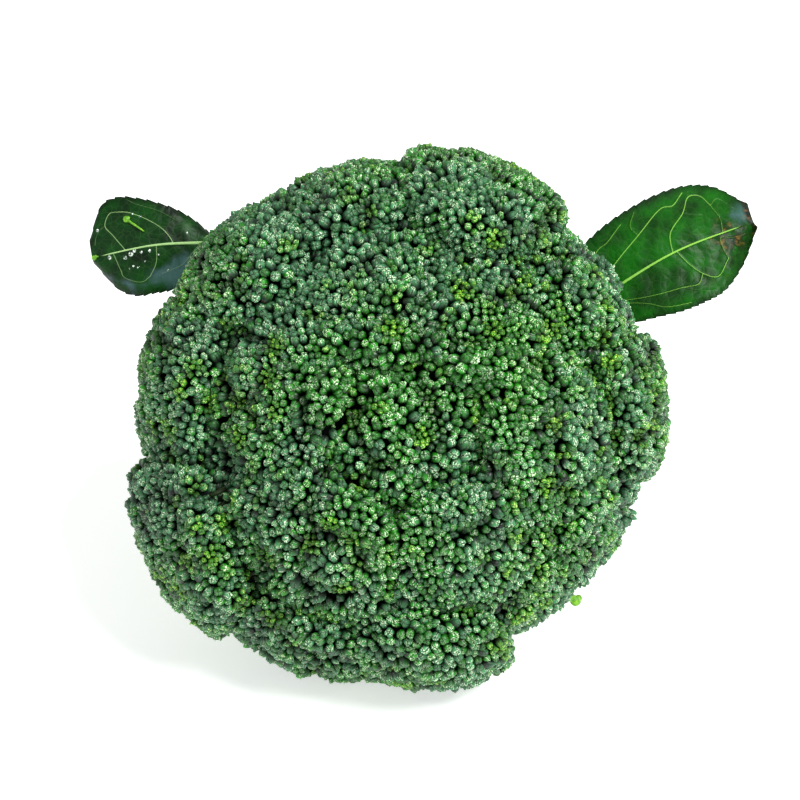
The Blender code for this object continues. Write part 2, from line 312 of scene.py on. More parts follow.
class BroccoliSettings(bpy.types.PropertyGroup):
    bud_width: FloatProperty(
        name="Bud width", description="Width of a full-grown closed bud",
        default=0.0027, min=0.001, max=0.005, unit="LENGTH",
    )
    bud_length: FloatProperty(
        name="Bud length", description="Length of a full-grown closed bud",
        default=0.0032, min=0.001, max=0.006, unit="LENGTH",
    )
    cluster_spacing: FloatProperty(
        name="Cluster spacing", description="Distance between neighbouring clusters of buds",
        default=0.0078, min=0.004, max=0.015, unit="LENGTH",
    )
    seed: IntProperty(name="Seed", description="Picks another growth of buds", default=7)
    bloom_colour: colour_property("Waxy bud", "Blue-green bud under its wax", "449059")
    bud_colour: colour_property("Green bud", "Plain green bud", "2A921B")
    young_colour: colour_property("Young bud", "Yellow-green bud in a cluster's middle", "3F9418")
    flesh_colour: colour_property("Stem skin", "Skin of the stalk and branches", "8DB062")
    leaf_colour: colour_property("Leaf", "Upper side of a leaf", "0A5904")
    vein_colour: colour_property("Leaf vein", "Midrib and larger veins", "8CC850")
    floor_colour: colour_property("Floor", "Pale floor under the head", "F4F5F5")
    key_power: FloatProperty(
        name="Key light", description="Power of the large light at the upper right",
        default=17.0, min=0, unit="POWER",
    )
    camera_distance: FloatProperty(
        name="Camera distance", description="From the crown's middle to the camera",
        default=0.6, min=0.2, max=3.0, unit="LENGTH",
    )


# --- the crown's surface -----------------------------------------------------------------

PLACES_PER_AREA = 5.0       # candidate places for a bud per square millimetre
HEM_DEPTH = 10.5            # millimetres below a head's middle, where its buds stop
CREVICE_DEPTH = 17.0        # the same, where the next floret is near
CREVICE_GAP = 11.0          # millimetres to the next floret that count as near
WALL_GAP = 1.6              # millimetres between florets, below which no bud grows


class Floret:
    """One floret of the frame, upright and in millimetres, ready for growing things on."""

    def __init__(self, name):
        self.name = name
        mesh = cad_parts[name].data
        mesh.calc_loop_triangles()
        corners = np.empty(len(mesh.loop_triangles) * 3, dtype=int)
        mesh.loop_triangles.foreach_get("vertices", corners)
        self.points = upright(node_points(name))
        self.triangles = corners.reshape(-1, 3)
        a, b, c = (self.points[self.triangles[:, i]] for i in range(3))
        cross = np.cross(b - a, c - a)
        self.areas = np.linalg.norm(cross, axis=1) / 2
        self.normals = unit(cross)
        self.centres = (a + b + c) / 3
        self.tree = BVHTree.FromPolygons(self.points.tolist(), self.triangles.tolist())
        self.foot, self.foot_radius = self.find_foot()
        far = np.linalg.norm(self.centres - self.foot, axis=1)
        head = far > far.max() * 0.5
        weights = self.areas * head
        self.middle = (self.centres * weights[:, None]).sum(0) / weights.sum()
        self.rise = unit(self.middle - self.foot)

    def find_foot(self):
        """Where the branch meets the stalk, and the branch's radius there."""
        # The branches leave the stalk round a place 6 mm below the hub.
        reach = np.linalg.norm(self.points - UP * -6.0, axis=1)
        ring = self.points[reach < reach.min() + 5.0]
        foot = ring.mean(0)
        spread = np.linalg.norm(ring - foot, axis=1)
        return foot, float(np.median(spread))

    def scattered(self, count, rng):
        """count places spread evenly over the surface, and which triangle each is on."""
        chosen = rng.choice(len(self.areas), size=count, p=self.areas / self.areas.sum())
        u, v = rng.random(count), rng.random(count)
        over = u + v > 1
        u[over], v[over] = 1 - u[over], 1 - v[over]
        a, b, c = (self.points[self.triangles[chosen, i]] for i in range(3))
        return a + (b - a) * u[:, None] + (c - a) * v[:, None], chosen

    def smooth_normal(self, place, radius):
        """The surface's direction averaged over this radius, which rounds off its edges."""
        near = np.linalg.norm(self.centres - place, axis=1)
        weight = self.areas * np.clip(1.0 - near / (radius + 3.0), 0, None)
        if weight.sum() <= 0:
            weight = self.areas * (near == near.min())
        return unit((self.normals * weight[:, None]).sum(0))


def grown_florets():
    """All the frame's florets, in the order of their names."""
    names = sorted(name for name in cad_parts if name.startswith("floret"))
    return [Floret(name) for name in names]


def crown_tree(florets):
    """All the florets' surfaces together, for finding what faces what."""
    points, triangles = [], []
    for floret in florets:
        triangles += (floret.triangles + len(points)).tolist()
        points += floret.points.tolist()
    return BVHTree.FromPolygons(points, triangles)


def open_places(floret, crown, rng):
    """Places for buds all over the head's outside.

    With each come the surface's direction there and the gap to the next floret.
    """
    places, faces = floret.scattered(int(floret.areas.sum() * PLACES_PER_AREA), rng)
    normals = floret.normals[faces]
    outside = (normals * unit(places)).sum(1) > -0.6
    depth = (floret.middle - places) @ floret.rise
    kept, gaps = [], []
    for index in np.flatnonzero(outside & (depth < CREVICE_DEPTH)):
        start = Vector(places[index] + normals[index] * 0.1)
        gap = crown.ray_cast(start, Vector(normals[index]), CREVICE_GAP)[3]
        if (gap is None and depth[index] < HEM_DEPTH) or (gap and gap > WALL_GAP):
            kept.append(index)
            gaps.append(gap or np.inf)
    return places[kept], normals[kept], np.array(gaps)


def packed(places, widths, touching):
    """Picks places, always the roomiest next, until neighbours of these widths touch."""
    chosen = [int(np.argmax(places[:, 2]))]
    room = np.full(len(places), np.inf)
    while True:
        last = chosen[-1]
        away = np.linalg.norm(places - places[last], axis=1)
        room = np.minimum(room, away * 2 / (widths + widths[last]))
        best = int(np.argmax(room))
        if room[best] < touching:
            return np.array(chosen)
        chosen.append(best)


# --- the buds ----------------------------------------------------------------------------

LOBE_SPACING = 17.0         # millimetres between the lobes of one floret
LOBE_CREASE = 3.2           # millimetres, the depth of the creases between lobes
CREASE_WIDTH = 3.4          # millimetres, over which a crease closes
BUD_TOUCHING = 0.62         # of the width of a bud, between it and the next one
EDGE_LEAN = 44.0            # degrees that a bud at its cluster's edge leans outwards
YOUNG_PATCH = 26.0          # millimetres, the size of patches with many young clusters
WAXY_PATCH = 30.0           # millimetres, the size of patches with much wax
MEETING_GAP = 9.0           # millimetres between florets, below which buds reach across
BUD_SIDES = 12              # points round a bud, three for each of its four sepals
BUD_RINGS = 6               # rings of points between a bud's foot and its tip


def bud_template():
    """A closed bud of width 1 and length 1 along +Z, with four sepals that meet at its tip."""
    points, faces = [(0.0, 0.0, 0.0)], []
    for ring in range(1, BUD_RINGS + 1):
        share = ring / (BUD_RINGS + 1)
        height = 0.5 - 0.5 * math.cos(math.pi * share)
        radius = 0.5 * math.sin(math.pi * share) ** 0.58
        for side in range(BUD_SIDES):
            angle = 2 * math.pi * side / BUD_SIDES
            out = radius * (1 - 0.22 * min(1.0, share * 1.4) if side % 3 == 0 else 1.0)
            points.append((out * math.cos(angle), out * math.sin(angle), height))
    points.append((0.0, 0.0, 0.93))
    for side in range(BUD_SIDES):
        after = (side + 1) % BUD_SIDES
        faces.append((0, 1 + after, 1 + side))
        for ring in range(BUD_RINGS - 1):
            low, high = 1 + ring * BUD_SIDES, 1 + (ring + 1) * BUD_SIDES
            faces.append((low + side, low + after, high + after, high + side))
        last = 1 + (BUD_RINGS - 1) * BUD_SIDES
        faces.append((last + side, last + after, len(points) - 1))
    return np.array(points), faces


def bud_map(points, faces):
    """For each corner of the template's faces, its place in the bud's square of the texture."""
    rows = []
    for face in faces:
        turned = [math.atan2(points[i][1], points[i][0]) for i in face if 0 < i < len(points) - 1]
        middle = math.atan2(sum(map(math.sin, turned)), sum(map(math.cos, turned)))
        for i in face:
            pole = i == 0 or i == len(points) - 1
            ring = 0 if i == 0 else (BUD_RINGS + 1 if pole else 1 + (i - 1) // BUD_SIDES)
            angle = middle if pole else math.atan2(points[i][1], points[i][0])
            out = 0.47 * (1 - ring / (BUD_RINGS + 1))
            rows.append((out * math.cos(angle), out * math.sin(angle)))
    return np.array(rows)


def smooth_patch(places, size, channel):
    """A smooth number from about -1 to 1 for each place, changing over size millimetres."""
    shift = Vector((channel * 17.3, channel * 5.1, 0))
    return np.array([noise.noise(Vector(place) / size + shift) for place in places])


def nearest_two(places, seeds):
    """For each place the nearest seed, and the distances to it and to the next nearest."""
    away = np.linalg.norm(places[:, None, :] - seeds[None, :, :], axis=2)
    order = np.sort(away, axis=1)
    return away.argmin(axis=1), order[:, 0], order[:, 1]


def floret_buds(floret, crown, rng, choices):
    """All the buds of one floret, as a dictionary of arrays with a row for each bud."""
    places, normals, gaps = open_places(floret, crown, rng)
    spacing = choices.cluster_spacing * 1000
    # Clusters of buds, and the larger lobes that the clusters stand on.
    even = np.ones(len(places))
    seeds = places[packed(places, even * spacing, 0.8)]
    lobes = places[packed(places, even * LOBE_SPACING, 0.8)]
    cluster, away, _ = nearest_two(places, seeds)
    share = np.clip(away / (spacing * 0.62), 0, 1.25)
    young = 0.42 + smooth_patch(seeds, YOUNG_PATCH, 1) * 0.5 + rng.normal(size=len(seeds)) * 0.36
    young = np.clip(young, 0, 1)
    # In a young cluster the middle buds are still small.
    full = 1.02 - 0.5 * young[cluster] * np.clip(1 - share, 0, 1) ** 0.8
    own_size = rng.uniform(0.84, 1.18, len(seeds))[cluster]
    sizes = full * own_size * rng.uniform(0.93, 1.1, len(places))
    widths = sizes * choices.bud_width * 1000
    chosen = packed(places, widths, BUD_TOUCHING)
    places, share, cluster = places[chosen], share[chosen], cluster[chosen]
    normals, gaps = normals[chosen], gaps[chosen]
    # A bud leans away from its cluster's middle, and one in ten leans much further.
    facing = np.array([floret.smooth_normal(seed, 3.5) for seed in seeds])[cluster]
    facing = unit(facing + normals * 0.5)
    spoke = places - seeds[cluster]
    spoke = unit(spoke - facing * (spoke * facing).sum(1)[:, None])
    lean = np.radians(rng.normal(EDGE_LEAN, 12, len(places)) * np.minimum(share, 1.1))[:, None]
    lean += np.radians(30) * (rng.random(len(places)) < 0.10)[:, None]
    jitter = rng.normal(size=places.shape) * 0.22
    aims = unit(facing * np.cos(lean) + spoke * np.sin(lean) + jitter)
    # The creases between lobes are deep in some places and fade out in others.
    if len(lobes) > 1:
        _, first, second = nearest_two(places, lobes)
        crease = np.exp(-(((second - first) / CREASE_WIDTH) ** 2))
    else:
        crease = np.zeros(len(places))
    crease *= np.clip(0.55 + smooth_patch(places, 14, 3) * 1.3, 0, 1)
    # Each cluster is a low dome.
    tall = rng.uniform(0.5, 1.3, len(seeds))[cluster]
    lift = tall * (1 - 1.25 * share**2) + rng.normal(size=len(places)) * 0.16
    places = places + facing * (lift - LOBE_CREASE * crease)[:, None]
    # Between two florets that nearly touch, buds stand out until they meet.
    reach = np.clip(gaps / 2 - 1.0, 0, 1.8) * (gaps < MEETING_GAP)
    places += normals * reach[:, None]
    count = len(places)
    return {
        "places": places,
        "aims": aims,
        "widths": widths[chosen],
        "young": young[cluster] * np.clip(1.15 - share, 0, 1) + rng.normal(size=count) * 0.08,
        # How much painted shade a bud takes: more at its cluster's edge and in a crease between
        # lobes.
        "painted_hollow_shade": np.clip(0.5 * share**2 + crease, 0, 1),
        "bloom": 0.5 + smooth_patch(places, WAXY_PATCH, 2) + rng.normal(size=count) * 0.28,
        "odd": rng.random(count),
    }


def irregular(shape, count, rng):
    """The template's points once for each bud, with its four sepals unevenly full."""
    side = (np.arange(len(shape)) - 1) % BUD_SIDES
    quarter, on_seam = side // 3, side % 3 == 0
    full = rng.uniform(0.78, 1.18, (count, 4))
    share = np.where(on_seam, (full[:, quarter] + full[:, quarter - 1]) / 2, full[:, quarter])
    tip = rng.normal(size=(count, 4)) * 0.08
    rise = np.where(on_seam, 0.0, tip[:, quarter]) * shape[:, 2] ** 2
    shear = rng.normal(size=(count, 1, 2)) * 0.07 * (shape[:, 2] ** 2)[None, :, None]
    points = np.repeat(shape[None, :, :], count, axis=0)
    points[:, :, :2] = points[:, :, :2] * share[:, :, None] + shear
    points[:, 1:-1, 2] += rise[:, 1:-1]
    return points


def lifted_clear(points):
    """How far to move each bud, upright, so that none of it is under the floor."""
    lowest = laid(points)[..., 2].min(axis=1) * 1000
    return np.maximum(-lowest, 0)[:, None] * TURN[2]


def bud_piece(name, buds, material, choices, rng):
    """Draws the buds as one mesh, each bud with its own square of the texture."""
    shape, faces = bud_template()
    count, corners_each = len(buds["places"]), len(shape)
    stretch = choices.bud_length / choices.bud_width * rng.uniform(0.85, 1.15, count)
    width = buds["widths"][:, None, None]
    own = irregular(shape, count, rng) - (0, 0, 0.5)
    across = unit(np.cross(buds["aims"], rng.normal(size=(count, 3))))[:, None, :]
    up = buds["aims"][:, None, :]
    points = buds["places"][:, None, :] + width * (
        own[..., 0:1] * across
        + own[..., 1:2] * np.cross(up, across)
        + own[..., 2:3] * stretch[:, None, None] * up
    )
    points += lifted_clear(points)[:, None, :]
    flat = np.concatenate([np.array(face) for face in faces])
    lengths = np.array([len(face) for face in faces])
    corners = ((np.arange(count) * corners_each)[:, None] + flat[None, :]).ravel()
    firsts = np.concatenate(([0], np.cumsum(lengths)[:-1]))
    starts = ((np.arange(count) * len(flat))[:, None] + firsts[None, :]).ravel()
    obj = large_mesh_object(name, points.reshape(-1, 3), corners, starts, material)
    for label in ("young", "painted_hollow_shade", "bloom", "odd"):
        point_values(obj, label, np.repeat(buds[label], corners_each))
    for label, values in zip(("bud_x", "bud_y", "bud_z"), shape.T):
        point_values(obj, label, np.tile(values, count))
    cells = math.ceil(math.sqrt(count))
    centres = np.stack((np.arange(count) % cells, np.arange(count) // cells), 1) + 0.5
    mapped = (centres[:, None, :] + bud_map(shape, faces)[None, :, :]).reshape(-1, 2) / cells
    layer = obj.data.uv_layers.new(name="OFBake")
    layer.data.foreach_set("uv", mapped.ravel())
    return obj


def sepal_edge(material, place):
    """The distance to the nearest sepal edge, as a share of the bud's width."""
    sides = []
    for label, shift in (("bud_x", 0.0), ("bud_y", 40.0)):
        moved = node(material, "ShaderNodeVectorMath", {0: place}, operation="ADD")
        moved.inputs[1].default_value = (shift, 0, 0)
        # The edges waver by up to a sixth of a bud over about 0.6 mm.
        waver = noise_at(material, moved.outputs[0], 1700.0, 1.0)
        bent = math_node(material, "MULTIPLY_ADD", waver, 0.34, -0.17)
        side = math_node(material, "ADD", held(material, label), bent)
        sides.append(math_node(material, "ABSOLUTE", side))
    return math_node(material, "MINIMUM", *sides)


def bud_material(choices):
    """Closed broccoli flower buds, matte and waxy.

    Wax gives many buds a blue-grey cast. Each shows the pale edges of its four sepals, partly
    their own colour and partly painted highlight, which are yellow-green on the youngest. Painted
    shade darkens the seams between its sepals, its sides, which fall away into dark gaps, and the
    buds low in creases.
    """
    material = new_material("waxy flower buds")
    young, bloom, painted_hollow_shade, odd, height = (
        held(material, name) for name in ("young", "bloom", "painted_hollow_shade", "odd", "bud_z")
    )
    place = object_place(material)
    edge = sepal_edge(material, place)
    # Fine mottling of the wax, in specks of about 0.4 mm.
    speck = noise_at(material, place, 2500.0, 2.0)
    waxy = ramp(material, bloom, (0.26, 0), (0.82, 1), smooth=True)
    base = mixed(material, waxy, choices.bud_colour[:], choices.bloom_colour[:])
    youth = ramp(material, young, (0.2, 0), (0.8, 1), smooth=True)
    base = mixed(material, youth, base, choices.young_colour[:])
    # Every bud has its own tone.
    base = times(material, base, ramp(material, odd, (0.0, 0.40), (1.0, 1.08)))
    base = times(material, base, ramp(material, speck, (0.3, 0.72), (0.7, 1.2)))
    # The seam between two sepals is painted as a dark line of shade about 0.15 mm wide.
    base = times(material, base, ramp(material, edge, (0.02, 0.2), (0.05, 0.86)))
    # Beside it the sepal's edge is pale, partly its own colour and partly a painted highlight, in
    # broken lines on the bud's upper half, which are bold on some buds and faint on others.
    line = ramp(material, edge, (0.035, 0), (0.06, 1), (0.10, 1), (0.14, 0))
    line = times(material, line, ramp(material, height, (0.3, 0), (0.62, 1)))
    line = times(material, line, ramp(material, speck, (0.43, 0), (0.56, 1)))
    line = times(material, line, ramp(material, odd, (0.2, 0.12), (0.75, 1)))
    pale = mixed(material, youth, linear("E6F8D2"), linear("C6F052"))
    base = mixed(material, line, base, pale)
    # Painted shade: the side of a bud falls away into the shade between its neighbours, and its tip
    # is painted a little brighter as a highlight.
    shade = ramp(material, height, (0.12, 0.02), (0.45, 0.2), (0.7, 0.78), (0.92, 1.2))
    base = times(material, base, shade)
    # Painted shade: buds low in the creases between lobes and at their clusters' edges are darker.
    base = times(material, base, ramp(material, painted_hollow_shade, (0.3, 1), (1, 0.42)))
    # Each sepal swells away from its seams, and its skin is a little wrinkled.
    swell = ramp(material, edge, (0.0, 0), (0.15, 1), smooth=True)
    relief = mixed(material, 0.35, swell, speck)
    return shader(
        material, base, Roughness=ramp(material, bloom, (0.2, 0.32), (0.8, 0.55)),
        Specular_IOR_Level=0.32, Coat_Weight=0.16, Coat_Roughness=0.14,
        Normal=bumped(material, relief, 0.00022, 0.8),
    )


class BROCCOLI_OT_buds(bpy.types.Operator):
    """Covers every floret with clusters of closed buds"""

    bl_idname = "broccoli.buds"
    bl_label = "Buds"

    def execute(self, context):
        choices = settings()
        material = bud_material(choices)
        florets = grown_florets()
        crown = crown_tree(florets)
        for number, floret in enumerate(florets):
            rng = np.random.default_rng(choices.seed * 100 + number)
            buds = floret_buds(floret, crown, rng, choices)
            name = floret.name.replace("floret", "buds")
            keep(bud_piece(name, buds, material, choices, rng), "buds", floret.name)
        return {"FINISHED"}


# --- the stalk, the branches and the twigs -----------------------------------------------

CUT_RADIUS = 17.0           # millimetres, of the stalk's cut end
STEM_VOXEL = 0.00075        # metres, the finest shape where branches run together
TWIGS_EACH = 11             # twigs under one floret
TWIG_SEED = 900


def tube(points, radii, sides=10):
    """Points and faces of a closed, tapering round tube along the points."""
    points = np.asarray(points, dtype=float)
    runs = unit(np.gradient(points, axis=0))
    side = unit(np.cross(runs[0], (0.31, 0.17, 0.93)))
    made, faces = [], []
    for place, run, radius in zip(points, runs, radii):
        side = unit(side - run * (side @ run))
        other = np.cross(run, side)
        for step in range(sides):
            angle = 2 * math.pi * step / sides
            made.append(place + (side * math.cos(angle) + other * math.sin(angle)) * radius)
    for ring in range(len(points) - 1):
        low, high = ring * sides, (ring + 1) * sides
        for step in range(sides):
            after = (step + 1) % sides
            faces.append((low + step, low + after, high + after, high + step))
    last = (len(points) - 1) * sides
    faces.append(tuple(reversed(range(sides))))
    faces.append(tuple(last + step for step in range(sides)))
    return made, faces


def joined(shapes):
    """Several (points, faces) shapes as one."""
    points, faces = [], []
    for made, theirs in shapes:
        first = len(points)
        points.extend(made)
        faces.extend(tuple(first + corner for corner in face) for face in theirs)
    return points, faces


def branch_shape(floret):
    """The branch from inside the stalk to inside the head, flared at both of its ends."""
    out = np.array((floret.foot[0], floret.foot[1], 0.0))
    start = np.array((out[0] * 0.6, out[1] * 0.6, floret.foot[2] - 8))
    bend = floret.foot + (floret.foot - start) * 0.6
    end = floret.middle - floret.rise * 6
    steps = np.linspace(0, 1, 14)
    route = [start * (1 - t) ** 2 + bend * 2 * t * (1 - t) + end * t**2 for t in steps]
    foot = floret.foot_radius
    radii = [foot * (0.98 + 0.35 * (1 - t) ** 6 + 0.34 * t**3) for t in steps]
    return tube(route, radii, 16)


def stem_mesh(florets):
    """The stalk and its branches grown into one smooth body."""
    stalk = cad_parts["stalk"].data
    shapes = [(upright(node_points("stalk")).tolist(), [tuple(p.vertices) for p in stalk.polygons])]
    shapes += [branch_shape(floret) for floret in florets]
    points, faces = joined(shapes)
    mesh = bpy.data.meshes.new("stem")
    mesh.from_pydata([Vector(point) * 0.001 for point in points], [], faces)
    form = bmesh.new()
    form.from_mesh(mesh)
    bmesh.ops.remove_doubles(form, verts=form.verts, dist=1e-6)
    form.to_mesh(mesh)
    form.free()
    rough = bpy.data.objects.new("stem_rough", mesh)
    bpy.context.scene.collection.objects.link(rough)
    grown = rough.modifiers.new("grown together", "REMESH")
    grown.mode = "VOXEL"
    grown.voxel_size = STEM_VOXEL
    eased = rough.modifiers.new("eased", "SMOOTH")
    eased.factor = 0.6
    eased.iterations = 6
    graph = bpy.context.evaluated_depsgraph_get()
    graph.update()
    made = bpy.data.meshes.new_from_object(rough.evaluated_get(graph), depsgraph=graph)
    bpy.data.objects.remove(rough)
    return made


def facing_up(obj):
    """How far each point's surface faces the crown's top, where the buds shade it, 0 to 1."""
    normals = np.empty(len(obj.data.vertices) * 3)
    obj.data.vertices.foreach_get("normal", normals)
    return np.clip(normals.reshape(-1, 3) @ AXIS * 1.8 + 0.1, 0, 1)


class BROCCOLI_OT_stem(bpy.types.Operator):
    """Grows the stalk and its branches as one smooth body"""

    bl_idname = "broccoli.stem"
    bl_label = "Stalk and branches"

    def execute(self, context):
        made = stem_mesh(grown_florets())
        points = np.empty(len(made.vertices) * 3)
        made.vertices.foreach_get("co", points)
        points = points.reshape(-1, 3) * 1000
        faces = [tuple(polygon.vertices) for polygon in made.polygons]
        obj = mesh_object("stem", points, faces, stem_material(settings()))
        height = points[:, 2] + CUT_DEPTH
        lateral = np.hypot(points[:, 0] - CUT_SHIFT, points[:, 1])
        point_values(obj, "cut", np.clip((0.9 - height) / 0.6, 0, 1))
        point_values(obj, "ring", lateral / CUT_RADIUS)
        point_values(obj, "climb", np.clip(height / (CUT_DEPTH + 30), 0, 1))
        # Painted shade goes on surfaces inside the crown that face its top, where the buds shade
        # them.
        in_crown = np.clip((points[:, 2] + 14) / 10, 0, 1)
        point_values(obj, "painted_bud_shade", facing_up(obj) * in_crown)
        keep(obj, "flesh", "stalk")
        return {"FINISHED"}


def stem_material(choices):
    """Broccoli stem: smooth waxy skin over moist flesh, cut square at the end.

    The skin is pale green with fine darker fibres along it; the cut shows a pale pith, a ring
    of fibres and a thin green rind.
    """
    material = new_material("broccoli stem skin")
    place = object_place(material)
    climb, cut, ring, painted_bud_shade = (
        held(material, name) for name in ("climb", "cut", "ring", "painted_bud_shade")
    )
    skin = ramp(
        material, climb,
        (0.0, linear("A3BE7C")), (0.45, choices.flesh_colour[:]), (1.0, linear("6E9A4A")),
    )
    # Mottling of about 5 mm, and fibres about 0.6 mm apart.
    patch = noise_at(material, place, 200.0, 4.0)
    skin = times(material, skin, ramp(material, patch, (0.3, 0.8), (0.7, 1.1)))
    fibre = noise_at(material, place, 1600.0, 3.0)
    skin = times(material, skin, ramp(material, fibre, (0.35, 0.88), (0.65, 1.06)))
    pith = ramp(
        material, ring,
        (0.0, linear("DDE5B8")), (0.55, linear("D3DFA6")), (0.72, linear("A9C47A")),
        (0.8, linear("CFDDA0")), (0.9, linear("9DBB68")), (1.0, linear("6F9848")),
    )
    # The pith is made of cells about 1 mm wide.
    cell = node(material, "ShaderNodeTexVoronoi", {"Vector": place}, Scale=900.0)
    spots = ramp(material, cell.outputs["Distance"], (0.0, 0.86), (0.5, 1.05))
    base = mixed(material, cut, skin, times(material, pith, spots))
    # Painted shade on the skin that faces the crown's top, under the buds.
    base = times(material, base, ramp(material, painted_bud_shade, (0.1, 1), (0.8, 0.06)))
    return shader(
        material, base, Roughness=0.42, Specular_IOR_Level=0.5, Coat_Weight=0.15,
        Coat_Roughness=0.25, Normal=bumped(material, fibre, 0.0002, 0.6),
    )


def head_edge(floret, around, start, stop):
    """Places on the head's underside at this turn about its axis, from its branch outwards."""
    axis = Vector(floret.rise)
    turn = Vector((0, 0, 1)).rotation_difference(axis)
    rows = []
    for down in np.linspace(start, stop, 7):
        local = Vector(
            (math.sin(down) * math.cos(around), math.sin(down) * math.sin(around), math.cos(down))
        )
        ray = turn @ local
        hit = floret.tree.ray_cast(Vector(floret.middle), ray)
        if hit[0] is not None:
            rows.append(np.array(hit[0]))
    return rows


def twig_shapes(floret, rng):
    """The twigs that spread from the branch over the head's underside, each one forked."""
    shapes = []
    for number in range(TWIGS_EACH):
        around = 2 * math.pi * (number + rng.uniform(-0.25, 0.25)) / TWIGS_EACH
        main = head_edge(floret, around, math.radians(172), math.radians(112))
        if len(main) < 4:
            continue
        shapes.append(tube(main, np.linspace(2.5, 1.1, len(main))))
        for fork in (-0.24, 0.02, 0.26):
            ahead = head_edge(floret, around + fork, math.radians(136), math.radians(88))
            if len(ahead) < 4:
                continue
            route = [main[len(main) // 2]] + ahead[1:]
            shapes.append(tube(route, np.linspace(1.4, 0.6, len(route)), 8))
    return shapes


def core_shape(floret):
    """The head under its buds: the frame's floret drawn in by the depth of the buds."""
    form = bmesh.new()
    verts = [form.verts.new(point) for point in floret.points]
    for triangle in floret.triangles:
        try:
            form.faces.new([verts[i] for i in triangle])
        except ValueError:
            continue
    bmesh.ops.remove_doubles(form, verts=form.verts, dist=0.001)
    bmesh.ops.recalc_face_normals(form, faces=form.faces)
    form.normal_update()
    for vertex in form.verts:
        top = max(0.0, vertex.normal.dot(Vector(unit(np.array(vertex.co)))))
        vertex.co -= vertex.normal * (0.6 + 2.2 * top)
    form.verts.index_update()
    points = [tuple(vertex.co) for vertex in form.verts]
    faces = [tuple(vertex.index for vertex in face.verts) for face in form.faces]
    form.free()
    return points, faces


class BROCCOLI_OT_twigs(bpy.types.Operator):
    """Spreads the twigs under each floret's buds"""

    bl_idname = "broccoli.twigs"
    bl_label = "Twigs"

    def execute(self, context):
        material = twig_material(settings())
        for number, floret in enumerate(grown_florets()):
            rng = np.random.default_rng(TWIG_SEED + number)
            # The core stands under the buds; its material paints it dark as the shade between them.
            core = core_shape(floret)
            points, faces = joined([core, *twig_shapes(floret, rng)])
            name = floret.name.replace("floret", "twigs")
            obj = mesh_object(name, points, faces, material)
            outward = (np.array(points) - floret.middle) @ floret.rise
            point_values(obj, "under", np.clip(0.55 - outward / 16, 0, 1))
            point_values(obj, "twig", np.arange(len(points)) >= len(core[0]))
            point_values(obj, "painted_bud_shade", facing_up(obj))
            keep(obj, "flesh")
        return {"FINISHED"}


def twig_material(choices):
    """Thin broccoli stems: pale green skin, darker towards the buds, with painted shade where the
    buds cover them and a core painted nearly black as the shade between the buds.
    """
    material = new_material("broccoli twig skin")
    place = object_place(material)
    under, twig, painted_bud_shade = (held(material, name) for name in ("under", "twig", "painted_bud_shade"))
    # The core is painted nearly black near the buds, as the shade in the gaps between them, and
    # lighter green on the head's underside.
    core = ramp(
        material, under, (0.15, linear("040D04")), (0.45, linear("0C1F09")),
        (0.8, linear("5D8A3E")),
    )
    skin = ramp(
        material, under, (0.2, linear("3C6A2A")), (0.6, linear("7FA853")),
        (1.0, choices.flesh_colour[:]),
    )
    base = mixed(material, twig, core, skin)
    # Streaks of about 1 mm for the stems that crowd side by side.
    streak = noise_at(material, place, 900.0, 3.0)
    base = times(material, base, ramp(material, streak, (0.3, 0.7), (0.7, 1.15)))
    # Painted shade where the twigs face the crown's top, under the buds.
    base = times(material, base, ramp(material, painted_bud_shade, (0.1, 1), (0.8, 0.06)))
    return shader(
        material, base, Roughness=0.6,
        Specular_IOR_Level=ramp(material, under, (0.4, 0.03), (0.8, 0.45)),
        Normal=bumped(material, streak, 0.0003, 0.7),
    )


# --- the leaves --------------------------------------------------------------------------


def along_curve(points, t):
    """Places at each t, from 0 to 1, on the smooth curve through evenly timed points."""
    points = np.asarray(points, dtype=float)
    if points.ndim == 1:
        points = points[:, None]
    t = np.clip(np.asarray(t, dtype=float), 0, 1)
    last = len(points) - 1
    index = np.minimum((t * last).astype(int), last - 1)
    u = (t * last - index)[..., None]
    padded = np.concatenate(
        ([points[0] * 2 - points[1]], points, [points[-1] * 2 - points[-2]])
    )
    before, here, there, after = (padded[index + i] for i in range(4))
    return 0.5 * (
        here * 2
        + (there - before) * u
        + (before * 2 - here * 5 + there * 4 - after) * u**2
        + (here * 3 - before - there * 3 + after) * u**3
    )


